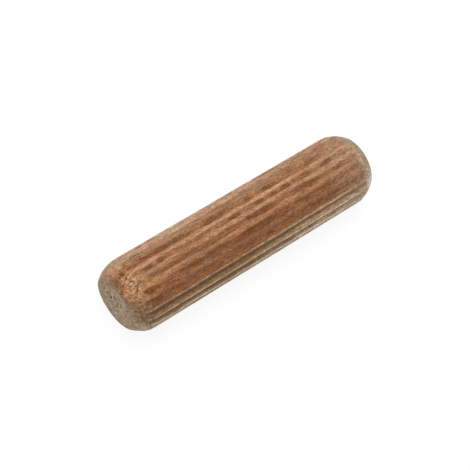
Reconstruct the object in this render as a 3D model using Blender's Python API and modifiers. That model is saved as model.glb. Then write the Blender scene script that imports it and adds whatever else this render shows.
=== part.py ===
"""A fluted wooden dowel pin for joining panels, lying on its side as it comes to rest.

The pin is one piece of wood. A rod with flutes all round it is cut to length, and both of its ends are
turned to a slightly crowned chamfer with a soft rim, so that the pin enters its drilled hole easily.
The flutes let air and spare glue out of the hole.

Metres, +Z up. The pin lies along X on two neighbouring lands, with the origin under its middle.
"""

import math

import bmesh
import bpy
from mathutils import Vector

MM = 0.001

# Driving dimensions of the pin
PIN_LENGTH = 40 * MM
CREST_DIAMETER = 10 * MM
FLUTE_COUNT = 21
FLUTE_DEPTH = 0.25 * MM
LAND_WIDTH = 0.3 * MM
CHAMFER_LENGTH = 2.3 * MM
CHAMFER_DEPTH = 1.26 * MM
CHAMFER_CROWN = 0.14 * MM
RIM_RADIUS = 0.5 * MM

# How far the rod stands out of the turned blank at its ends, and the blank out of the rod all round, so
# that the two never share a face
CUTTING_CLEARANCE = 1 * MM

# How finely the curved surfaces are divided
FLUTE_STEPS = 6
RIM_STEPS = 2
CHAMFER_STEPS = 4
BLANK_STEPS = 4 * FLUTE_COUNT

WELD_DISTANCE = 0.001 * MM
SMOOTH_BELOW = math.radians(14)

WOOD_COLOUR = (0.305, 0.142, 0.065, 1.0)
WOOD_ROUGHNESS = 0.75

CREST_RADIUS = CREST_DIAMETER / 2
FLUTE_PITCH = 2 * math.pi / FLUTE_COUNT
HALF_LAND_ANGLE = math.asin(LAND_WIDTH / 2 / CREST_RADIUS)
HALF_FLUTE_ANGLE = FLUTE_PITCH / 2 - HALF_LAND_ANGLE

# The pin rests on the near edges of the two lands on either side of its lowest flute.
AXIS_HEIGHT = CREST_RADIUS * math.cos(HALF_FLUTE_ANGLE)


def clear_scene():
    for old in list(bpy.data.objects):
        bpy.data.objects.remove(old, do_unlink=True)


def new_collection(name):
    collection = bpy.data.collections.new(name)
    bpy.context.scene.collection.children.link(collection)
    return collection


def wood_material():
    material = bpy.data.materials.new("brown_hardwood")
    material.use_nodes = True
    surface = material.node_tree.nodes["Principled BSDF"]
    surface.inputs["Base Color"].default_value = WOOD_COLOUR
    surface.inputs["Roughness"].default_value = WOOD_ROUGHNESS
    surface.inputs["Metallic"].default_value = 0.0
    return material


def on_circle(radius, angle):
    return Vector((radius * math.cos(angle), radius * math.sin(angle)))


def arc(start, end, rise, steps):
    """Points on the circular arc from start to end that bows to the left of its chord by rise."""
    chord = end - start
    half_chord = chord.length / 2
    radius = (half_chord**2 + rise**2) / (2 * rise)
    left = Vector((-chord.y, chord.x)).normalized()
    centre = (start + end) / 2 + left * (rise - radius)
    spoke = start - centre
    sweep = 2 * math.asin(half_chord / radius)
    along = math.atan2(spoke.y, spoke.x)
    return [centre + on_circle(spoke.length, along - sweep * i / steps) for i in range(steps + 1)]


def section_outline():
    """The rod's section: flat lands on the crest circle, and between them round-bottomed flutes.

    The section's +X turns to point down when the pin is laid on its side, and the middle of a flute is
    there, so that the pin rests on the lands on either side of it.
    """
    rise = CREST_RADIUS * math.cos(HALF_FLUTE_ANGLE) - (CREST_RADIUS - FLUTE_DEPTH)
    outline = []
    for flute in range(FLUTE_COUNT):
        middle = flute * FLUTE_PITCH
        first_edge = on_circle(CREST_RADIUS, middle - HALF_FLUTE_ANGLE)
        last_edge = on_circle(CREST_RADIUS, middle + HALF_FLUTE_ANGLE)
        outline += arc(first_edge, last_edge, rise, FLUTE_STEPS)
    return outline


def fluted_rod(collection):
    """A straight rod of the fluted section, along its own Z and longer than the pin."""
    curve = bpy.data.curves.new("fluted_section", "CURVE")
    curve.dimensions = "2D"
    curve.fill_mode = "BOTH"
    curve.extrude = PIN_LENGTH / 2 + CUTTING_CLEARANCE
    outline = section_outline()
    spline = curve.splines.new("POLY")
    spline.points.add(len(outline) - 1)
    for point, place in zip(spline.points, outline):
        point.co = (place.x, place.y, 0, 1)
    spline.use_cyclic_u = True
    section = bpy.data.objects.new("fluted_section", curve)
    collection.objects.link(section)

    graph = bpy.context.evaluated_depsgraph_get()
    mesh = bpy.data.meshes.new_from_object(section.evaluated_get(graph))
    welded = bmesh.new()
    welded.from_mesh(mesh)
    bmesh.ops.remove_doubles(welded, verts=welded.verts, dist=WELD_DISTANCE)
    bmesh.ops.recalc_face_normals(welded, faces=welded.faces)
    welded.to_mesh(mesh)
    welded.free()

    rod = bpy.data.objects.new("dowel_pin", mesh)
    rod.matrix_world = section.matrix_world
    collection.objects.link(rod)
    bpy.data.objects.remove(section, do_unlink=True)
    return rod


def end_profile():
    """One end's turned profile as (radius, distance in from the end), from the flat face outwards.

    It follows the rounded rim and the crowned chamfer to the crest circle, and then runs on, straight,
    clear of the rod.
    """
    rim = Vector((CREST_RADIUS - CHAMFER_DEPTH, 0))
    shoulder = Vector((CREST_RADIUS, CHAMFER_LENGTH))
    chord = shoulder - rim
    crown_turn = 2 * math.atan(2 * CHAMFER_CROWN / chord.length)
    rim_turn = math.atan2(chord.y, chord.x) - crown_turn
    setback = RIM_RADIUS * math.tan(rim_turn / 2)
    rim_start = rim - Vector((setback, 0))
    rim_end = rim + on_circle(setback, rim_turn)
    rim_rise = RIM_RADIUS * (1 - math.cos(rim_turn / 2))
    rounding = arc(rim_start, rim_end, -rim_rise, RIM_STEPS)
    profile = rounding[:-1] + arc(rim_end, shoulder, -CHAMFER_CROWN, CHAMFER_STEPS)
    run = (profile[-1] - profile[-2]).normalized()
    profile.append(shoulder + run * CUTTING_CLEARANCE / run.x)
    return profile


def turned_blank(collection):
    """The turned form that the rod is cut to: the pin's flat ends and its two chamfers."""
    half_length = PIN_LENGTH / 2
    top = [(point.x, half_length - point.y) for point in [Vector((0, 0)), *end_profile()]]
    bottom = [(radius, -height) for radius, height in reversed(top)]
    profile = bmesh.new()
    verts = [profile.verts.new((radius, 0, height)) for radius, height in top + bottom]
    for upper, lower in zip(verts, verts[1:]):
        profile.edges.new((upper, lower))
    mesh = bpy.data.meshes.new("turned_blank")
    profile.to_mesh(mesh)
    profile.free()

    blank = bpy.data.objects.new("turned_blank", mesh)
    collection.objects.link(blank)
    screw = blank.modifiers.new("Turn", "SCREW")
    screw.steps = BLANK_STEPS
    screw.render_steps = BLANK_STEPS
    screw.use_merge_vertices = True
    screw.merge_threshold = WELD_DISTANCE
    blank.hide_render = True
    blank.display_type = "WIRE"
    return blank


def lay_down(obj):
    """Turns an upright piece to lie along X, at the height where its lowest lands touch the ground."""
    obj.rotation_euler = (0, math.pi / 2, 0)
    obj.location = (0, 0, AXIS_HEIGHT)


def main():
    clear_scene()
    parts = new_collection("fluted_dowel_pin")
    cutters = new_collection("cutters")

    pin = fluted_rod(parts)
    blank = turned_blank(cutters)
    lay_down(pin)
    lay_down(blank)

    turning = pin.modifiers.new("Cut to the turned blank", "BOOLEAN")
    turning.operation = "INTERSECT"
    turning.solver = "EXACT"
    turning.object = blank

    pin.data.materials.clear()
    pin.data.materials.append(wood_material())
    pin.data.shade_smooth()
    pin.data.set_sharp_from_angle(angle=SMOOTH_BELOW)


main()
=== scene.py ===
import math
import random

import bmesh
import bpy
from mathutils import Matrix, Vector, geometry, noise


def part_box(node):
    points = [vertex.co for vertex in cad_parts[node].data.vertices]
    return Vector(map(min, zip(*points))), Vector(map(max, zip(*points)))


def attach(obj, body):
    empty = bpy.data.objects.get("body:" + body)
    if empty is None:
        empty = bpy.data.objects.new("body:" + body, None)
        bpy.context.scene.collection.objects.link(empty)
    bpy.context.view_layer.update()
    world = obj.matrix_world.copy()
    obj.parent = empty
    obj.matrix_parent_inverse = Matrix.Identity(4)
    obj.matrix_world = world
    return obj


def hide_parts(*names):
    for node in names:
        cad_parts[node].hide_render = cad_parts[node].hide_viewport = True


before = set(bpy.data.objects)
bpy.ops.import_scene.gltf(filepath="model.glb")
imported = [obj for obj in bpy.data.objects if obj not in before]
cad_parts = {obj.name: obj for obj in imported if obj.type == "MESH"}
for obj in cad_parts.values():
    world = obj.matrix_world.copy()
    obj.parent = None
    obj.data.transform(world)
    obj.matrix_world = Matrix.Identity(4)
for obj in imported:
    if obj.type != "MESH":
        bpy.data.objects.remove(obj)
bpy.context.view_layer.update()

# The pin: one length of brown hardwood rod with flutes milled all round, cut off square and turned to
# a slightly crowned chamfer with a soft rim at both ends. It is left bare, so its crests are rubbed
# pale, its flutes stay dark, its end grain has greyed, and its fibres are torn where the flutes start.

MM = 0.001
PIN_LOW, PIN_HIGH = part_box("dowel_pin")
HALF_LENGTH = (PIN_HIGH.x - PIN_LOW.x) / 2
CREST_RADIUS = 5 * MM
FLUTE_COUNT = 21
FLUTE_DEPTH = 0.25 * MM
HALF_LAND = 0.15 * MM
CHAMFER_LENGTH = 2.3 * MM
CHAMFER_DEPTH = 1.26 * MM
CHAMFER_CROWN = 0.14 * MM
RIM_RADIUS = 0.5 * MM
PITCH = 2 * math.pi / FLUTE_COUNT
HALF_FLUTE_ANGLE = PITCH / 2 - math.asin(HALF_LAND / CREST_RADIUS)
AXIS_HEIGHT = CREST_RADIUS * math.cos(HALF_FLUTE_ANGLE)

# Rings of the mesh across an end face, round its rim, along a chamfer and along the body, the columns
# round it, and how near to each other its points become one
FACE_RINGS = 20
RIM_RINGS = 4
CHAMFER_RINGS = 27
BODY_RINGS = 168
COLUMNS = 16 * FLUTE_COUNT
WELD_DISTANCE = 0.001 * MM


def on_circle(radius, angle):
    return Vector((radius * math.cos(angle), radius * math.sin(angle)))


def arc(start, end, rise, steps):
    """Points on the circular arc from start to end that bows to the left of its chord by rise."""
    chord = end - start
    half_chord = chord.length / 2
    bow = (half_chord**2 + rise**2) / (2 * rise)
    left = Vector((-chord.y, chord.x)).normalized()
    centre = (start + end) / 2 + left * (rise - bow)
    spoke = start - centre
    sweep = 2 * math.asin(half_chord / bow)
    first = math.atan2(spoke.y, spoke.x)
    return [centre + on_circle(spoke.length, first - sweep * i / steps) for i in range(steps + 1)]


def end_profile():
    """One end's turned outline as (radius, distance in from the end), from the face's edge outwards."""
    rim = Vector((CREST_RADIUS - CHAMFER_DEPTH, 0))
    shoulder = Vector((CREST_RADIUS, CHAMFER_LENGTH))
    chord = shoulder - rim
    crown_turn = 2 * math.atan(2 * CHAMFER_CROWN / chord.length)
    rim_turn = math.atan2(chord.y, chord.x) - crown_turn
    setback = RIM_RADIUS * math.tan(rim_turn / 2)
    rim_start = rim - Vector((setback, 0))
    rim_end = rim + on_circle(setback, rim_turn)
    rim_rise = RIM_RADIUS * (1 - math.cos(rim_turn / 2))
    rounding = arc(rim_start, rim_end, -rim_rise, RIM_RINGS)
    return rounding[:-1] + arc(rim_end, shoulder, -CHAMFER_CROWN, CHAMFER_RINGS)


FACE_RADIUS = end_profile()[0].x
CHAMFER_SLOPE = Vector((CREST_RADIUS - FACE_RADIUS, CHAMFER_LENGTH)).length
SHOULDER = FACE_RADIUS + CHAMFER_SLOPE


def lathe_line():
    """The turned outline as (place along X, radius), from the middle of one end to the other's."""
    face = [Vector((FACE_RADIUS * i / FACE_RINGS, 0)) for i in range(FACE_RINGS)]
    end = [(point.y, point.x) for point in face + end_profile()]
    body_length = 2 * (HALF_LENGTH - CHAMFER_LENGTH)
    body = [
        (CHAMFER_LENGTH + body_length * i / BODY_RINGS, CREST_RADIUS) for i in range(1, BODY_RINGS)
    ]
    far_end = [(2 * HALF_LENGTH - along, radius) for along, radius in reversed(end)]
    return [(along - HALF_LENGTH, radius) for along, radius in end + body + far_end]


shape = bmesh.new()
line = [shape.verts.new((x, 0, AXIS_HEIGHT - radius)) for x, radius in lathe_line()]
edges = [shape.edges.new(pair) for pair in zip(line, line[1:])]
bmesh.ops.spin(
    shape, geom=line + edges, cent=(0, 0, AXIS_HEIGHT), axis=(1, 0, 0), angle=2 * math.pi,
    steps=COLUMNS, use_merge=True,
)
bmesh.ops.remove_doubles(shape, verts=shape.verts, dist=WELD_DISTANCE)

# Relief of the cut wood. The crests are sharp as milled, but round where the pin was rubbed, which is
# on the side that lies round this angle from straight down. The wear grows between these cosines of the
# angle from there, and the flutes are shallower where it is worn.
WORN_SIDE = math.radians(-170)
WORN_COSINES = (0.5, 0.75)
FLUTE_UNEVENNESS = 0.16
SHARP_CREST_ROUNDING = 0.1
WORN_CREST_ROUNDING = 0.5
WORN_FLUTE_SHARE = 0.75
CREST_WANDER = 0.07 * MM
CREST_WEAR = 0.03 * MM
FIBRE_RELIEF = 0.0135 * MM
TORN_RELIEF = 0.1 * MM
PORE_RELIEF = 0.035 * MM
RING_RELIEF = 0.012 * MM
RING_SPACING = 0.6 * MM
RING_WAVER = 0.12 * MM
END_GRAIN_REACH = 0.3 * MM

# Torn fibres cover the chamfers. Their relief grows over this length from a face's edge, and fades
# from this far before the shoulder to this far past it. A flute's looks run out on a chamfer between
# these depths of the milled flute below it.
SMOOTH_RIM = 0.9 * MM
FADE_BEFORE_SHOULDER = 0.4 * MM
FADE_PAST_SHOULDER = 1.1 * MM
RUN_OUT = (-0.02 * MM, 0.05 * MM)

# The unevenness of each of these, as smooth noise: its length along the pin and its width across in mm,
# and its seed
UNEVENNESS = {
    "wander": (6, 1.5, 3), "depth": (8, 2, 11), "wear": (2.2, 0.6, 23),
    "fibres": (1.4, 0.2, 37), "fine_fibres": (0.4, 0.2, 39),
    "tears": (0.8, 0.6, 41), "fine_tears": (0.25, 0.2, 43),
    "rings": (1, 0.9, 47), "pores": (0.2, 0.2, 53),
}

# The saw left the ends a little short and off square: how far each face falls back, across its width,
# towards a direction given as an angle from straight down, and how far along the pin that is taken up
SAW_SHORT = 0.06 * MM
SAW_ERROR = {-1: 0.36 * MM, 1: 0.03 * MM}
SAW_LEAN = math.radians(-58)
SAW_REACH = 3 * MM

# The heart of the growth rings on the end faces, across the pin and above its axis
HEART = Vector((1.25 * MM, 0.75 * MM))

# Short checks at the near end, as places along the pin in mm and angles round it from straight down
CHECKS = (
    ((-17.58, 173.9), (-17.05, 172.3)),
    ((-18.65, 172.2), (-18.50, 178.2), (-18.19, 178.0)),
    ((-18.35, -166.5), (-18.05, -164.0)),
    ((-17.32, -159.3), (-17.89, -153.5), (-18.41, -146.5)),
    ((-17.70, -141.0), (-17.20, -139.0)),
    ((-19.55, -118.5), (-19.40, -115.5)),
)
# Faint ones, where a fibre lifted along the upper side and at the lower shoulder
FAINT_CHECKS = (
    ((-14.60, 166.4), (-13.95, 166.8), (-13.30, 167.4)),
    ((-13.15, 167.4), (-12.15, 167.9)),
    ((-16.25, 159.0), (-15.45, 161.2)),
    ((-15.10, 156.8), (-14.55, 158.0)),
    ((-16.75, 163.2), (-16.20, 162.9)),
    ((-12.25, 175.5), (-11.60, 175.9)),
    ((-18.55, -103.0), (-18.15, -97.5)),
    ((-19.00, -76.0), (-18.60, -84.0)),
)
FAINT_SHARE = 0.45
# Pin knots and small pits: place along the pin, angle round it from straight down, and radius in mm
KNOTS = (
    (-14.31, 156.8, 0.2), (-19.49, 178.9, 0.2), (-17.25, -139.6, 0.3), (-15.64, -137.8, 0.32),
    (-17.82, -123.0, 0.42), (-19.59, -117.3, 0.16), (-17.77, -94.2, 0.16), (-10.18, 171.5, 0.36),
    (-18.05, -73.0, 0.45), (-19.78, -159.0, 0.4),
)
KNOT_DEPTH = 0.05 * MM
CHECK_DEPTH = 0.16 * MM
CHECK_HALF_WIDTH = 0.11 * MM
# No stretch of a check is longer than this, and none lies farther from an end than this
CHECK_STRETCH = 1.5 * MM
CHECKED_LENGTH = 9 * MM

# Dark burnished marks that the fluting cutter left: the number of each one's flute from straight down,
# the places along the pin in mm where it starts and ends, and how dark it is. They fill this share of
# the flute's width.
MARK_WIDTH_SHARE = 0.9
BURNISH_MARKS = (
    (-10, -16.4, -14.3, 0.7), (-10, -14.2, -12.8, 0.6), (-10, -2.8, -0.4, 1.0), (-10, 1.5, 3.4, 0.9),
    (-10, 4.2, 5.6, 0.8), (-10, 5.7, 7.7, 0.9), (-10, 12.2, 14.9, 0.8), (-9, -1.2, 5.0, 1.0),
    (-9, 5.6, 12.6, 0.6), (-9, 13.0, 17.2, 0.45), (-8, -18.0, -15.8, 0.9), (-8, -11.0, -8.2, 0.8),
    (-8, -7.0, 7.0, 0.6), (-8, -3.4, -0.1, 0.9), (-8, 6.8, 9.4, 0.7), (-7, -17.8, -15.4, 0.8),
    (-7, -4.4, 0.4, 0.5), (-11, -18.8, -6.4, 0.7), (-11, -6.8, 0.2, 0.6),
    (-11, 0.7, 2.2, 0.4), (-11, 3.8, 5.4, 0.4), (-12, -16.8, -14.0, 0.4),
)

# The same on the sides that the photo doesn't show, in no set place: how many of each, and the lowest
# and highest of their places and angles, and of their lengths, turns, radii and darkness
HIDDEN_SIDE = (-60, 140)
HIDDEN_CHECKS = {-1: 4, 1: 9}
HIDDEN_CHECK_PLACES = (16.6, 18.6)
HIDDEN_CHECK_TURNS = (-4, 4)
HIDDEN_CHECK_LENGTHS = (0.2, 0.6)
HIDDEN_KNOTS = 7
HIDDEN_KNOT_PLACES = (-18, 18)
HIDDEN_KNOT_RADII = (0.15, 0.35)
HIDDEN_FLUTES = range(-4, 9)
HIDDEN_MARKS_IN_A_FLUTE = 2
HIDDEN_MARK_STARTS = (-17, 14)
HIDDEN_MARK_LENGTHS = (0.9, 2.8)
HIDDEN_MARK_DARKNESS = (0.4, 0.9)

# The crests on the show side, by the number of the flute below each: how pale it was rubbed, and how
# far the uneven spacing of the flutes puts it from its place, in flute widths. The others vary between
# the values below, but the two that the pin rests on keep their places.
CRESTS = {
    -13: (0.3, 0.0), -12: (0.2, 0.1), -11: (0.8, 0.15), -10: (0.75, -0.05), -9: (1.0, -0.08),
    -8: (0.25, -0.05), -7: (0.8, 0.02), -6: (0.95, 0.0), -5: (1.0, -0.03),
}
OTHER_CRESTS_RUBBED = (0.3, 1)
OTHER_CRESTS_SHIFTED = (-0.08, 0.08)
RESTING_CRESTS = {0: (0.6, 0.0), FLUTE_COUNT - 1: (0.7, 0.0)}
CREST_NUMBERS = range(-13, FLUTE_COUNT - 13)
CHANCE_SEED = 21


def uneven(place, name):
    """Smooth noise from -1 to 1 that is drawn out along the pin, as its fibres are."""
    length, width, seed = UNEVENNESS[name]
    length *= MM
    width *= MM
    return noise.noise(Vector((place.x / length + seed, place.y / width, place.z / width)))


def smooth_step(low, high, value):
    share = min(1.0, max(0.0, (value - low) / (high - low)))
    return share * share * (3 - 2 * share)


def on_turned_surface(x, angle):
    """The point of the turned outline at a place along the pin and an angle round it."""
    from_end = HALF_LENGTH - abs(x)
    radius = CREST_RADIUS
    for inner, outer in zip(end_profile(), end_profile()[1:]):
        if inner.y <= from_end <= outer.y:
            share = (from_end - inner.y) / (outer.y - inner.y)
            radius = inner.x + (outer.x - inner.x) * share
    return Vector((x, radius * math.sin(angle), -radius * math.cos(angle)))


def laid_out(points):
    """Places along the pin in mm and angles round it from straight down, as points on its surface."""
    return [on_turned_surface(x * MM, math.radians(angle)) for x, angle in points]


def check_share(place, checks):
    """How deep in a check a point lies, from 0 on the sound surface to 1 at the middle of a check."""
    nearest = CHECK_HALF_WIDTH
    for start, end in checks:
        if abs(place.x - start.x) > CHECK_STRETCH:
            continue
        foot, share = geometry.intersect_point_line(place, start, end)
        foot = start if share < 0 else end if share > 1 else foot
        nearest = min(nearest, (place - foot).length)
    return 1 - nearest / CHECK_HALF_WIDTH


chance = random.Random(CHANCE_SEED)
check_lines = [laid_out(points) for points in CHECKS]
for side, count in HIDDEN_CHECKS.items():
    for _ in range(count):
        x = side * chance.uniform(*HIDDEN_CHECK_PLACES)
        angle = chance.uniform(*HIDDEN_SIDE)
        turn = chance.uniform(*HIDDEN_CHECK_TURNS)
        far_x = x + chance.uniform(*HIDDEN_CHECK_LENGTHS)
        check_lines.append(laid_out([(x, angle), (far_x, angle + turn)]))
faint_lines = [laid_out(points) for points in FAINT_CHECKS]
checks = [pair for points in check_lines for pair in zip(points, points[1:])]
faint_checks = [pair for points in faint_lines for pair in zip(points, points[1:])]

knots = [(laid_out([(x, angle)])[0], radius * MM) for x, angle, radius in KNOTS]
for _ in range(HIDDEN_KNOTS):
    x = chance.uniform(*HIDDEN_KNOT_PLACES)
    angle = chance.uniform(*HIDDEN_SIDE)
    knots.append((laid_out([(x, angle)])[0], chance.uniform(*HIDDEN_KNOT_RADII) * MM))

marks = list(BURNISH_MARKS)
for flute in HIDDEN_FLUTES:
    for _ in range(HIDDEN_MARKS_IN_A_FLUTE):
        start = chance.uniform(*HIDDEN_MARK_STARTS)
        end = start + chance.uniform(*HIDDEN_MARK_LENGTHS)
        marks.append((flute, start, end, chance.uniform(*HIDDEN_MARK_DARKNESS)))

crests = dict(RESTING_CRESTS)
for number in CREST_NUMBERS:
    varied = (chance.uniform(*OTHER_CRESTS_RUBBED), chance.uniform(*OTHER_CRESTS_SHIFTED))
    crests.setdefault(number % FLUTE_COUNT, CRESTS.get(number, varied))


def count_flutes(place, angle):
    """The number of a point's flute from straight down, with its place across the flute."""
    flute = (angle + CREST_WANDER / CREST_RADIUS * uneven(place, "wander")) / PITCH
    below = math.floor(flute - 0.5)
    toward_next = flute - 0.5 - below
    shift_below = crests[below % FLUTE_COUNT][1]
    shift_above = crests[(below + 1) % FLUTE_COUNT][1]
    return flute - (shift_below * (1 - toward_next) + shift_above * toward_next)


def flute_depth_share(off_middle, worn):
    """How deep a point lies in its flute, from 0 on a crest to 1 in the middle of the flute."""
    rounding = SHARP_CREST_ROUNDING + (WORN_CREST_ROUNDING - SHARP_CREST_ROUNDING) * worn
    raw_share = 1 - (off_middle / HALF_FLUTE_ANGLE) ** 2
    return (raw_share + math.hypot(raw_share, rounding)) / 2


def milled_radius(place, share, worn):
    """How far from the axis the fluting, the wear and the fibres leave a point."""
    depth = FLUTE_DEPTH * (1 + (WORN_FLUTE_SHARE - 1) * worn)
    depth *= 1 + FLUTE_UNEVENNESS * uneven(place, "depth")
    wear = CREST_WEAR * (1 - share) * max(0.0, uneven(place, "wear"))
    fibres = FIBRE_RELIEF * (uneven(place, "fibres") + uneven(place, "fine_fibres"))
    return CREST_RADIUS - depth * share - wear - fibres


def path_from_middle(turned, from_end, on_face):
    """How far a point is from the middle of its end, over the face, the chamfer and the body."""
    if on_face:
        return turned
    if from_end < CHAMFER_LENGTH:
        return FACE_RADIUS + Vector((turned - FACE_RADIUS, from_end)).length
    return SHOULDER + from_end - CHAMFER_LENGTH


def torn_fibre_depth(place, end_path):
    """How deep the torn fibres of a chamfer lie below its turned form."""
    torn = 0.5 + 0.3 * uneven(place, "tears") + 0.2 * uneven(place, "fine_tears")
    past_shoulder = smooth_step(
        SHOULDER - FADE_BEFORE_SHOULDER, SHOULDER + FADE_PAST_SHOULDER, end_path,
    )
    off_face = smooth_step(FACE_RADIUS, FACE_RADIUS + SMOOTH_RIM, end_path)
    return TORN_RELIEF * torn * (1 - past_shoulder) * off_face


def end_grain_depth(place, end_path):
    """How deep the soft part of a growth ring and the open pores lie in an end face."""
    ring_distance = (Vector((place.y, place.z)) - HEART).length
    ring_distance += RING_WAVER * uneven(place, "rings")
    ring = 0.5 + 0.5 * math.sin(2 * math.pi * ring_distance / RING_SPACING)
    pores = 0.5 + 0.5 * uneven(place, "pores")
    off_face = smooth_step(FACE_RADIUS, FACE_RADIUS + SMOOTH_RIM, end_path)
    return (RING_RELIEF * ring + PORE_RELIEF * pores) * (1 - off_face)


def sawn_short(place, side, from_end):
    """How far the saw brings a point inwards, which an end takes up along its first few millimetres."""
    across = (place.y * math.sin(SAW_LEAN) - place.z * math.cos(SAW_LEAN)) / FACE_RADIUS
    short = SAW_SHORT + SAW_ERROR[side] * across / 2
    return short * (1 - smooth_step(0, SAW_REACH, from_end))


def burnish_darkness(place, flute, off_middle):
    """How dark the cutter's burnished marks are at a point, from 0 where there is none."""
    darkest = 0.0
    for number, start, end, darkness in marks:
        if round(flute) % FLUTE_COUNT == number % FLUTE_COUNT and start < place.x / MM < end:
            off_centre = (2 * place.x / MM - start - end) / (end - start)
            off_line = off_middle / (MARK_WIDTH_SHARE * HALF_FLUTE_ANGLE)
            darkest = max(darkest, darkness * (1 - off_centre**2) * (1 - off_line**2))
    return darkest


# What the material reads at each point: how deep it lies in a flute, how pale the crest beside it was
# rubbed, how far it is from the middle of the end, how deep it lies in a check, how dark its burnished
# mark is, which side of its flute it is on, how far it is from the crest, and how deep in a knot.
ATTRIBUTES = ("flute", "rubbed", "end_path", "check", "burnish", "flank", "from_crest", "knot")
layers = [shape.verts.layers.float.new(name) for name in ATTRIBUTES]
for vert in shape.verts:
    place = Vector((vert.co.x, vert.co.y, vert.co.z - AXIS_HEIGHT))
    turned = Vector((place.y, place.z)).length
    angle = math.atan2(place.y, -place.z)
    side = math.copysign(1, place.x)
    from_end = HALF_LENGTH - abs(place.x)
    on_face = from_end < WELD_DISTANCE and turned < FACE_RADIUS
    end_path = path_from_middle(turned, from_end, on_face)

    flute = count_flutes(place, angle)
    flank = flute - round(flute)
    off_middle = abs(flank) * PITCH
    worn = smooth_step(*WORN_COSINES, math.cos(angle - WORN_SIDE))
    share = flute_depth_share(off_middle, worn)
    milled = milled_radius(place, share, worn)
    check = 0.0
    if from_end < CHECKED_LENGTH and not on_face:
        check = max(check_share(place, checks), FAINT_SHARE * check_share(place, faint_checks))
    knot = max(0.0, max(1 - (place - middle).length / reach for middle, reach in knots))

    if not on_face:
        radius = min(turned, milled) - torn_fibre_depth(place, end_path)
        radius -= CHECK_DEPTH * check + KNOT_DEPTH * knot
        vert.co.y *= radius / turned
        vert.co.z = max(0.0, AXIS_HEIGHT + place.z * radius / turned)
    if from_end < END_GRAIN_REACH:
        vert.co.x -= side * end_grain_depth(place, end_path)
    vert.co.x -= side * sawn_short(place, side, from_end)

    depth_seen = share * smooth_step(*RUN_OUT, turned - milled)
    rubbed = crests[math.floor(flute) % FLUTE_COUNT][0]
    burnish = burnish_darkness(place, flute, off_middle)
    from_crest = (0.5 - abs(flank)) * PITCH * CREST_RADIUS / MM
    values = (depth_seen, rubbed, end_path / MM, check, burnish, flank, from_crest, knot)
    for layer, value in zip(layers, values):
        vert[layer] = value

bmesh.ops.recalc_face_normals(shape, faces=shape.faces)
for face in shape.faces:
    face.smooth = True
mesh = bpy.data.meshes.new("fluted_pin")
shape.to_mesh(mesh)
shape.free()
pin = bpy.data.objects.new("fluted_pin", mesh)
bpy.context.scene.collection.objects.link(pin)


def linear(hex_colour):
    """A colour written as sRGB hex, as the linear values that a node takes."""
    parts = [int(hex_colour[i : i + 2], 16) / 255 for i in (1, 3, 5)]
    return (*(p / 12.92 if p <= 0.04045 else ((p + 0.055) / 1.055) ** 2.4 for p in parts), 1.0)


# The kinds of node that the materials are worked out with, under short names, and their settings
NODES = {
    "ramp": ("MapRange", {"interpolation_type": "SMOOTHSTEP"}),
    "plus": ("Math", {"operation": "ADD"}),
    "times": ("Math", {"operation": "MULTIPLY"}),
    "times_plus": ("Math", {"operation": "MULTIPLY_ADD"}),
    "over": ("Math", {"operation": "DIVIDE"}),
    "sine": ("Math", {"operation": "SINE"}),
    "larger": ("Math", {"operation": "MAXIMUM"}),
    "mix": ("Mix", {"data_type": "RGBA"}),
    "tint": ("Mix", {"data_type": "RGBA", "blend_type": "MULTIPLY"}),
    "reach": ("VectorMath", {"operation": "DOT_PRODUCT"}),
    "distance": ("VectorMath", {"operation": "DISTANCE"}),
    "vector_plus": ("VectorMath", {"operation": "ADD"}),
    "vector_times": ("VectorMath", {"operation": "MULTIPLY"}),
}


def add(material, kind, *links, settings=None, **named_links):
    """Adds a node with its settings and links, and returns its first output in use.

    The kind is a name in NODES, or else Blender's own. The links go to the sockets in use, in their
    order, or by their names. Each is another node's output, or else a plain value.
    """
    kind, usual_settings = NODES.get(kind, (kind, {}))
    node = material.node_tree.nodes.new("ShaderNode" + kind)
    for name, value in (settings or usual_settings).items():
        setattr(node, name, value)
    pairs = list(zip([socket for socket in node.inputs if socket.enabled], links))
    pairs += [(node.inputs[name.replace("_", " ")], value) for name, value in named_links.items()]
    for socket, value in pairs:
        if isinstance(value, bpy.types.NodeSocket):
            material.node_tree.links.new(value, socket)
        else:
            socket.default_value = value
    return next((socket for socket in node.outputs if socket.enabled), None)


# Bare brown hardwood: the fibres run along the pin, so streaks, pores and stains are long and narrow
# on its sides, and dots and rings on its ends. Rubbed crests are pale and matt, milled flutes darker.
# A band along the side that faces the camera is darker, as painted shade, and the upper back paler, as
# painted reflection. The underside is paler, yellower sapwood.
CREST_TAN = linear("#c99b76")
FLUTE_BROWN = linear("#9c6a43")
# A band of painted shade along the side that faces the camera, on its crests and in its flutes
SHADED_BAND_CREST = linear("#a8754f")
SHADED_BAND_FLUTE = linear("#8d5b36")
SAP_CREST = linear("#ccab8c")
SAP_CREST_PALE = linear("#ead6ba")
# The sapwood's flutes: painted shade below each crest, and painted light on the flank above the next
SAP_SHADED_FLUTE = linear("#745231")
SAP_LIT_FLANK = linear("#aa865b")
SAP_LOW = linear("#a28d74")
SAP_FAR = linear("#cdae8a")
FADED_TAN = linear("#b79c84")
# Painted reflection along the upper back, where the pin turns from the camera
BACK_REFLECTION_TAN = linear("#c5a182")
STAIN_BROWN = linear("#74441f")
TORN_ORANGE = linear("#955d36")
TORN_TAN = linear("#ba875f")
# Painted highlights on the ridges of the torn fibres, and painted shade in their creases
TORN_RIDGE_HIGHLIGHT = linear("#e2bf9b")
TORN_CREASE_SHADE = linear("#5e3921")
TORN_BACK = linear("#b28a66")
TORN_SAP = linear("#8b6c4b")
TORN_SAP_PALE = linear("#b5a48d")
FAR_TORN = linear("#b7977a")
FAR_RIM = linear("#a2977b")
FAR_PALE = linear("#e0d6c9")
END_GREY = linear("#bda283")
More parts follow.
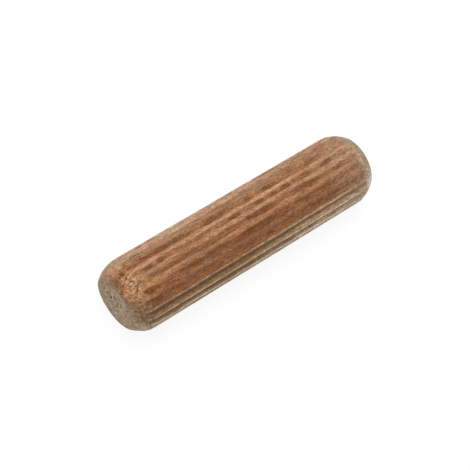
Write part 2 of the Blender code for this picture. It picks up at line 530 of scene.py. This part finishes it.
# Brown of the end face's patches, and the painted shade at its rim
END_BROWN_AND_RIM_SHADE = linear("#98795b")
END_PALE = linear("#cdb594")
END_DARK = linear("#86714f")
PITH_BROWN = linear("#4b4127")
CHECK_BROWN = linear("#4a230e")
KNOT_BROWN = linear("#6b3f1c")

# Slow drifts of the hue: a little greener, and a little redder
GREENER = (0.95, 1.0, 0.92, 1)
REDDER = (1.06, 0.94, 0.95, 1)
# Bare wood is rough and hardly shines, and its raised fibres catch light at a slant, as a fuzz does.
ROUGHNESS = 0.72
SHINE = 0.3
FUZZ = 0.3
FUZZ_ROUGHNESS = 0.25
BUMP_HEIGHT = 0.06 * MM

wood = bpy.data.materials.new("bare_brown_hardwood")
wood.use_nodes = True
surface = wood.node_tree.nodes["Principled BSDF"]
object_place = add(wood, "TexCoord").node.outputs["Object"]
place_mm = add(
    wood, "Mapping", object_place, Location=(0, 0, -AXIS_HEIGHT / MM), Scale=(1 / MM,) * 3,
)
flute_share, rubbed, end_path, check_depth, burnish, flank, from_crest, knot = (
    add(wood, "Attribute", settings={"attribute_name": name}).node.outputs["Fac"]
    for name in ATTRIBUTES
)

# Each pattern in the wood: its length along the fibres and its width across them, in mm, its detail
# and how far it swirls. The pores, fibres and specks are a little coarser than real ones, so that they
# show. A pattern's swing is its value less its middle value, a half.
patterns = {}
swings = {}
for name, length, width, detail, swirl in (
    ("drift", 14, 2.4, 2, 0), ("paleness", 7, 0.9, 2, 0), ("mottle", 1.9, 0.55, 3, 0.3),
    ("hue", 3.5, 1.2, 2, 0), ("streaks", 3.6, 0.3, 2, 0), ("pores", 0.8, 0.16, 1, 0),
    ("fibres", 0.6, 0.22, 2, 0.5), ("speckle", 0.2, 0.18, 1, 0), ("torn", 0.5, 0.3, 2, 1.6),
    ("blots", 0.9, 0.7, 2, 0.5),
):
    drawn_out = add(wood, "Mapping", place_mm, Scale=(1 / length, 1 / width, 1 / width))
    patterns[name] = add(wood, "TexNoise", drawn_out, Scale=1.0, Detail=detail, Distortion=swirl)
    swings[name] = add(wood, "plus", patterns[name], -0.5)

# Directions across the pin. How far a point reaches in one of them, in mm, tells how near it is to
# that side, and a swing makes the edges of what lies there uneven.
# The middle of the band of painted shade, on the side that faces the camera
SHADED_BAND_SIDE = (0, -0.743, 0.669)
SAP_SIDE = (0, -0.3, -0.954)
# The upper back, where the painted reflection lies
BACK_SIDE = (0, 0.766, 0.643)
SPLINTERED_SIDE = (0, -0.392, 0.92)
TAN_SIDE = (0, -0.486, 0.874)

# Where the band of painted shade, the sapwood and the painted reflection along the back lie, and how
# far along the pin a point is
shaded_band_share = add(
    wood, "ramp",
    add(wood, "times_plus", swings["drift"], 1.6, add(wood, "reach", place_mm, SHADED_BAND_SIDE)),
    3.9, 4.8,
)
towards_sap = add(wood, "times_plus", swings["drift"], 0.6, add(wood, "reach", place_mm, SAP_SIDE))
sap_share = add(wood, "ramp", towards_sap, -0.65, -0.1)
along_pin = add(wood, "reach", place_mm, (1, 0, 0))
far_share = add(wood, "ramp", along_pin, -5, 5)
towards_back = add(wood, "reach", place_mm, BACK_SIDE)
# Painted reflection: paler along the upper back, less so towards the far end
reflection_share = add(
    wood, "ramp", add(wood, "times_plus", swings["drift"], 0.7, towards_back), 4.0, 4.65,
)
reflection_share = add(wood, "times", reflection_share, add(wood, "ramp", along_pin, -4, 14, 0.85, 0.35))
sap_far = add(
    wood, "ramp", add(wood, "times_plus", swings["drift"], 6.0, along_pin), -4, 15, 0.0, 0.95,
)

# The sapwood's flutes are dark on the flank just below each crest, as painted shade, and pale on the
# flank above the next crest, as painted light. They are paler towards the far end, most on that lit
# flank.
sap_flute_lit_and_shaded = add(
    wood, "mix",
    add(wood, "ramp", add(wood, "times_plus", swings["mottle"], 0.6, flank), -0.06, 0.38),
    SAP_SHADED_FLUTE, SAP_LIT_FLANK,
)
sap_flute_lit_and_shaded = add(
    wood, "mix", add(wood, "times", sap_far, add(wood, "ramp", flank, -0.12, 0.3, 0.15, 1.0)),
    sap_flute_lit_and_shaded, SAP_FAR,
)
sap_low = add(wood, "mix", add(wood, "times", sap_far, 0.9), SAP_LOW, SAP_CREST_PALE)
sap_flute_lit_and_shaded = add(wood, "mix", add(wood, "ramp", towards_sap, 1.85, 2.5), sap_flute_lit_and_shaded, sap_low)
sap_crest = add(
    wood, "mix", add(wood, "ramp", add(wood, "times_plus", sap_far, 1.7, towards_sap), 1.25, 3.2),
    SAP_CREST, SAP_CREST_PALE,
)

# The main colours of the crests and of the flutes, darker in the band of painted shade
crest_colour = add(
    wood, "mix", sap_share, add(wood, "mix", shaded_band_share, CREST_TAN, SHADED_BAND_CREST), sap_crest,
)
flute_colour = add(
    wood, "mix", sap_share, add(wood, "mix", shaded_band_share, FLUTE_BROWN, SHADED_BAND_FLUTE), sap_flute_lit_and_shaded,
)

# How far from a crest its pale rubbed band reaches, in mm, and how uneven the band's edge is. On the
# sapwood, where the crests are still sharp, the band is narrow and crisp, except lowest down, and
# painted shade lies in a thin line on each side of it.
crisp_crests = add(wood, "ramp", towards_sap, -1.3, -0.7)
crest_reach = add(
    wood, "times_plus", add(wood, "ramp", towards_sap, 1.8, 2.5), 0.25,
    add(wood, "times_plus", crisp_crests, -0.26, 0.4),
)
off_crest = add(wood, "over", from_crest, crest_reach)
crest_drift = add(
    wood, "times_plus", swings["paleness"], 0.9,
    add(wood, "times_plus", swings["fibres"], 0.6, add(wood, "times", swings["mottle"], 0.7)),
)
off_crest = add(
    wood, "times_plus", crest_drift, add(wood, "times_plus", crisp_crests, -0.5, 1.0), off_crest,
)
on_crest = add(wood, "times", add(wood, "ramp", off_crest, 1.35, 0.45), rubbed)
# Painted shade in a thin line on each side of a sapwood crest
shade_beside_crest = add(
    wood, "times", add(wood, "ramp", from_crest, 0.1, 0.25),
    add(wood, "ramp", from_crest, 0.6, 0.25, 0.0, 0.3),
)
shade_beside_crest = add(wood, "times", shade_beside_crest, add(wood, "ramp", towards_sap, -1.5, -0.9))

# On the upper side of the near end the wood splintered, and fibres lifted along the body. The edges of
# the patches on a chamfer lean, by how far up it they are from about its middle.
MID_CHAMFER = 5.0
up_chamfer = add(wood, "plus", end_path, -MID_CHAMFER)
towards_splinters = add(wood, "reach", place_mm, SPLINTERED_SIDE)
splintered = add(
    wood, "ramp",
    add(
        wood, "times_plus", swings["blots"], 1.0,
        add(wood, "times_plus", up_chamfer, -0.12, towards_splinters),
    ),
    4.1, 4.5, 0.2, 1.0,
)
lifted = add(
    wood, "times",
    add(wood, "ramp", add(wood, "times_plus", swings["blots"], 0.6, towards_splinters), 4.45, 4.95),
    add(wood, "ramp", along_pin, -12, -17.5, 0.0, 0.75),
)

# The body, with stains and the cutter's burnished marks in its flutes
body_colour = add(wood, "mix", on_crest, flute_colour, crest_colour)
body_colour = add(wood, "mix", lifted, body_colour, TORN_TAN)
# Painted reflection along the upper back
body_colour = add(wood, "mix", reflection_share, body_colour, BACK_REFLECTION_TAN)
# Painted shade beside the sapwood's crests
body_colour = add(wood, "mix", shade_beside_crest, body_colour, SAP_SHADED_FLUTE)
body_colour = add(
    wood, "mix", add(wood, "ramp", along_pin, 11, 18, 0.0, 0.3), body_colour, FADED_TAN,
)
stain = add(
    wood, "times", add(wood, "ramp", patterns["mottle"], 0.48, 0.66),
    add(wood, "ramp", flute_share, 0.1, 0.7, 0.1, 0.42),
)
marked = add(
    wood, "ramp",
    add(
        wood, "times_plus", swings["fibres"], 0.4,
        add(wood, "times_plus", swings["mottle"], 0.7, burnish),
    ),
    0.05, 0.7, 0.0, 0.8,
)
body_colour = add(wood, "mix", stain, body_colour, STAIN_BROWN)
body_colour = add(wood, "mix", marked, body_colour, STAIN_BROWN)

# The torn chamfers: orange, but tan round the upper side, greyer in the sapwood and towards the face,
# with painted shade in the creases and painted highlights on the ridges of the torn fibres where they
# splintered. The far one is paler.
torn_tan_side = add(
    wood, "plus", add(wood, "reach", place_mm, TAN_SIDE),
    add(
        wood, "times_plus", add(wood, "ramp", end_path, 5.3, 6.2), 0.5,
        add(wood, "times", up_chamfer, -0.35),
    ),
)
torn_colour = add(
    wood, "mix",
    add(wood, "ramp", add(wood, "times_plus", swings["blots"], 1.4, torn_tan_side), 3.88, 4.42),
    TORN_ORANGE, TORN_TAN,
)
torn_back_side = add(wood, "times_plus", up_chamfer, -0.36, towards_back)
torn_back = add(
    wood, "ramp", add(wood, "times_plus", swings["blots"], 0.9, torn_back_side),
    3.35, 3.75, 0.0, 0.9,
)
torn_colour = add(wood, "mix", torn_back, torn_colour, TORN_BACK)
# Near the shoulder the chamfer's back takes the painted reflection of the body's back
torn_colour = add(
    wood, "mix", add(wood, "times", torn_back, add(wood, "ramp", end_path, 4.9, 5.8, 0.0, 0.8)),
    torn_colour, BACK_REFLECTION_TAN,
)
torn_colour = add(
    wood, "mix", add(wood, "ramp", towards_sap, -2.7, -0.9, 0.0, 0.9), torn_colour, TORN_SAP,
)
torn_colour = add(
    wood, "mix", add(wood, "ramp", add(wood, "times_plus", up_chamfer, -0.5, towards_sap), 1.2, 2.4),
    torn_colour, TORN_SAP_PALE,
)
greyed = add(
    wood, "times",
    add(wood, "ramp", add(wood, "times_plus", swings["blots"], 1.5, end_path), 4.7, 3.6),
    add(wood, "ramp", towards_sap, -2.5, -0.5, 0.0, 0.55),
)
torn_colour = add(wood, "mix", greyed, torn_colour, END_GREY)
# Painted shade in the creases of the torn relief, and painted highlights on its ridges
crease_shade = add(wood, "times", splintered, add(wood, "ramp", patterns["torn"], 0.42, 0.32))
ridge_highlight = add(wood, "times", splintered, add(wood, "ramp", patterns["torn"], 0.52, 0.64))
torn_colour = add(wood, "mix", crease_shade, torn_colour, TORN_CREASE_SHADE)
torn_colour = add(wood, "mix", ridge_highlight, torn_colour, TORN_RIDGE_HIGHLIGHT)
far_colour = add(
    wood, "mix",
    add(wood, "ramp", add(wood, "times_plus", swings["blots"], 1.2, end_path), 5.4, 4.4),
    FAR_TORN, FAR_RIM,
)
far_colour = add(
    wood, "mix",
    add(wood, "ramp", add(wood, "times_plus", swings["blots"], 1.5, towards_sap), -1.6, 0.6),
    far_colour, FAR_PALE,
)
torn_colour = add(wood, "mix", add(wood, "times", far_share, 0.9), torn_colour, far_colour)

# The cutter that chamfered the ends left fine marks round them, of this width and length in mm.
CUTTER_MARK_WIDTH = 0.26
CUTTER_MARK_LENGTH = 2.4
round_end = add(
    wood, "Mapping", place_mm, Scale=(0, 1 / CUTTER_MARK_LENGTH, 1 / CUTTER_MARK_LENGTH),
)
cutter_path = add(wood, "CombineXYZ", X=add(wood, "times", end_path, 1 / CUTTER_MARK_WIDTH))
cutter_marks = add(
    wood, "TexNoise", add(wood, "vector_plus", round_end, cutter_path), Scale=1.0, Detail=1.0,
)
torn_colour = add(
    wood, "tint", 1.0, torn_colour, add(wood, "ramp", cutter_marks, 0.36, 0.64, 0.84, 1.12),
)

# The torn wood has ragged edges, less so at the far end.
raggedness = add(wood, "times_plus", swings["blots"], 2.0, add(wood, "times", swings["torn"], 1.4))
ragged_end = add(
    wood, "plus", end_path,
    add(wood, "times", raggedness, add(wood, "ramp", along_pin, -5, 5, 1.0, 0.2)),
)

# On an end face the growth rings lie round the heart, where a small pith shows, dark with a paler
# middle. The face is browned in patches, and darker at its rim as painted shade, least at the back.
across_pin = add(wood, "vector_times", place_mm, (0, 1, 1))
from_heart = add(wood, "distance", across_pin, (0, HEART.x / MM, HEART.y / MM))
ring_path = add(wood, "times_plus", swings["blots"], 1.1, from_heart)
ring_wave = add(wood, "sine", add(wood, "times", ring_path, 2 * math.pi * MM / RING_SPACING))
ring_share = add(
    wood, "times_plus", swings["blots"], 1.5,
    add(wood, "times_plus", ring_wave, add(wood, "ramp", from_heart, 3.0, 1.0, 0.12, 0.24), 0.5),
)
end_colour = add(wood, "mix", add(wood, "ramp", ring_share, 0.22, 0.5), END_DARK, END_GREY)
end_colour = add(wood, "mix", add(wood, "ramp", ring_share, 0.5, 0.8), end_colour, END_PALE)
# Painted shade round the rim of the face, least at the back
rim_shade_share = add(
    wood, "times",
    add(wood, "ramp", add(wood, "times_plus", raggedness, 0.6, end_path), 2.5, 3.5, 0.0, 0.7),
    add(wood, "ramp", towards_back, 1.5, 3.0, 1.0, 0.2),
)
end_colour = add(
    wood, "mix", add(wood, "times", add(wood, "ramp", patterns["paleness"], 0.48, 0.62), 0.35),
    end_colour, END_BROWN_AND_RIM_SHADE,
)
end_colour = add(wood, "mix", rim_shade_share, end_colour, END_BROWN_AND_RIM_SHADE)
end_colour = add(
    wood, "mix", add(wood, "ramp", from_heart, 0.66, 0.48, 0.0, 0.9), end_colour, PITH_BROWN,
)
end_colour = add(
    wood, "mix", add(wood, "ramp", from_heart, 0.36, 0.2, 0.0, 0.9), end_colour, END_PALE,
)

# How far past the shoulder the torn wood gives way to the body, and how crisply
crispness = add(
    wood, "times_plus", add(wood, "times", far_share, add(wood, "plus", sap_share, 0.25)), 2.0, 1.0,
)
past_shoulder = add(
    wood, "times_plus",
    add(wood, "times", sap_share, add(wood, "times_plus", far_share, -1.0, 1.0)), 0.45,
    add(wood, "times_plus", far_share, 0.4, -SHOULDER / MM),
)
past_shoulder = add(wood, "times", add(wood, "plus", past_shoulder, ragged_end), crispness)
on_body = add(wood, "ramp", past_shoulder, -0.7, 0.9)
off_end = add(wood, "ramp", ragged_end, FACE_RADIUS / MM - 0.9, FACE_RADIUS / MM + 1.0)
colour = add(wood, "mix", on_body, torn_colour, body_colour)
colour = add(wood, "mix", off_end, end_colour, colour)

# The hue drifts, and streaks, mottling, specks, pores and fibres lighten and darken all of it.
colour = add(wood, "tint", add(wood, "ramp", patterns["hue"], 0.53, 0.68), colour, GREENER)
colour = add(wood, "tint", add(wood, "ramp", patterns["hue"], 0.47, 0.32), colour, REDDER)
shade = add(
    wood, "times", add(wood, "ramp", patterns["streaks"], 0.3, 0.7, 0.85, 1.1),
    add(wood, "ramp", patterns["mottle"], 0.3, 0.7, 1.06, 0.92),
)
shade = add(wood, "times", shade, add(wood, "times_plus", swings["speckle"], 1.6, 1.0))
shade = add(wood, "times", shade, add(wood, "ramp", patterns["pores"], 0.56, 0.72, 1.0, 0.65))
shade = add(wood, "times", shade, add(wood, "ramp", patterns["fibres"], 0.3, 0.7, 0.81, 1.19))
colour = add(wood, "tint", 1.0, colour, shade)

# Checks are dark, and so are knots, which are paler in the middle.
colour = add(wood, "mix", add(wood, "ramp", check_depth, 0.1, 0.8), colour, CHECK_BROWN)
knot = add(wood, "times", knot, add(wood, "ramp", patterns["torn"], 0.35, 0.6, 0.3, 1.4))
colour = add(
    wood, "mix",
    add(
        wood, "times", add(wood, "ramp", knot, 0.0, 0.4),
        add(wood, "ramp", knot, 1.0, 0.6, 0.4, 0.75),
    ),
    colour, KNOT_BROWN,
)
wood.node_tree.links.new(colour, surface.inputs["Base Color"])

# The finest relief, of fibres, specks and pores, and of torn fibres at the ends, is drawn as a bump.
raised = add(wood, "times", patterns["torn"], add(wood, "ramp", past_shoulder, 0.9, -0.7))
height = add(
    wood, "times_plus", patterns["pores"], -0.5,
    add(wood, "times_plus", patterns["speckle"], 0.8, patterns["fibres"]),
)
height = add(wood, "plus", height, raised)
relief = add(wood, "Bump", Strength=1.0, Distance=BUMP_HEIGHT, Height=height)
wood.node_tree.links.new(relief, surface.inputs["Normal"])
surface.inputs["Roughness"].default_value = ROUGHNESS
surface.inputs["Specular IOR Level"].default_value = SHINE
surface.inputs["Sheen Weight"].default_value = FUZZ
surface.inputs["Sheen Roughness"].default_value = FUZZ_ROUGHNESS
pin.data.materials.append(wood)

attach(pin, "root")
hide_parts("dowel_pin")

# The floor: a wide sheet of white paper that the pin lies on. It keeps the pin's soft shadow, and what
# sees it directly or in a reflection sees it white, as the world beyond it is.

FLOOR_SIZE = 3.0
PAPER_WHITE = 0.8
# Its white in all where it is seen, and the part of that which takes shadow
SEEN_WHITE = 1.01
SHADOW_DEPTH = 0.1

floor_shape = bmesh.new()
bmesh.ops.create_grid(floor_shape, x_segments=1, y_segments=1, size=FLOOR_SIZE)
floor_mesh = bpy.data.meshes.new("floor")
floor_shape.to_mesh(floor_mesh)
floor_shape.free()
floor = bpy.data.objects.new("floor", floor_mesh)
bpy.context.scene.collection.objects.link(floor)

paper = bpy.data.materials.new("white_paper")
paper.use_nodes = True
paper.node_tree.nodes.clear()
path = add(paper, "LightPath").node
seen = add(paper, "larger", path.outputs["Is Camera Ray"], path.outputs["Is Glossy Ray"])
seen = add(paper, "larger", seen, path.outputs["Is Transmission Ray"])
shaded = add(paper, "BsdfDiffuse", (SHADOW_DEPTH, SHADOW_DEPTH, SHADOW_DEPTH, 1))
glow = add(paper, "Emission", Strength=SEEN_WHITE - SHADOW_DEPTH)
white = add(paper, "AddShader", shaded, glow)
bounce = add(paper, "BsdfDiffuse", (PAPER_WHITE, PAPER_WHITE, PAPER_WHITE, 1))
add(paper, "OutputMaterial", add(paper, "MixShader", seen, bounce, white))
floor.data.materials.append(paper)

# The light: a plain white studio, with a large soft lamp above the pin and a little in front of it. The
# world is white where it is seen, and dimmer where it only lights the pin.

WORLD_STRENGTH = 0.4
LAMP_STRENGTH = 0.64
LAMP_SOFTNESS = math.radians(45)
LAMP_TILT = math.radians(4)

world = bpy.data.worlds.new("white_studio")
world.use_nodes = True
world.node_tree.nodes.clear()
path = add(world, "LightPath").node
seen = add(world, "larger", path.outputs["Is Camera Ray"], path.outputs["Is Glossy Ray"])
seen = add(world, "larger", seen, path.outputs["Is Transmission Ray"])
strength = add(world, "MapRange", seen, To_Min=WORLD_STRENGTH, To_Max=1.0)
add(world, "OutputWorld", add(world, "Background", (1, 1, 1, 1), strength))
bpy.context.scene.world = world

lamp = bpy.data.lights.new("overhead_softbox", "SUN")
lamp.energy = LAMP_STRENGTH * math.pi
lamp.angle = LAMP_SOFTNESS
lamp_object = bpy.data.objects.new("overhead_softbox", lamp)
lamp_object.rotation_euler = (LAMP_TILT, 0, 0)
bpy.context.scene.collection.objects.link(lamp_object)

# The camera looks down on the pin from the side of its near end, and the far end turns away from it.
# Its place is worked out from the place of the pin's middle and the slant of its axis in the photo.

PHOTO_SIDE = 470
FOCAL_LENGTH_PX = 1427
SENSOR_WIDTH = 36.0
PIN_MIDDLE_PX = (239.97, 230.36)
CAMERA_DEPTH = 186.8 * MM
SLANT = math.radians(30.9)
TURNED_AWAY = math.radians(24.5)
LEAN_BACK = math.radians(32.6)

along = Vector((
    math.cos(TURNED_AWAY) * math.cos(SLANT),
    math.cos(TURNED_AWAY) * math.sin(SLANT),
    -math.sin(TURNED_AWAY),
))
towards_camera = (Vector((0, 0, 1)) - along * along.z).normalized()
up_picture = towards_camera.cross(along)
upward = math.cos(LEAN_BACK) * towards_camera + math.sin(LEAN_BACK) * up_picture
turn = Matrix((along, upward.cross(along), upward))
off_middle = Vector((
    (PIN_MIDDLE_PX[0] - PHOTO_SIDE / 2) / FOCAL_LENGTH_PX,
    (PHOTO_SIDE / 2 - PIN_MIDDLE_PX[1]) / FOCAL_LENGTH_PX,
    -1,
)) * CAMERA_DEPTH
pin_middle = Vector((0, 0, AXIS_HEIGHT))
camera_data = bpy.data.cameras.new("camera")
camera_data.lens = FOCAL_LENGTH_PX / PHOTO_SIDE * SENSOR_WIDTH
camera_data.sensor_width = SENSOR_WIDTH
camera_data.clip_start = 1 * MM
camera = bpy.data.objects.new("camera", camera_data)
camera.matrix_world = Matrix.Translation(pin_middle - turn @ off_middle) @ turn.to_4x4()
bpy.context.scene.collection.objects.link(camera)
bpy.context.scene.camera = camera
bpy.context.scene.view_settings.view_transform = "Standard"
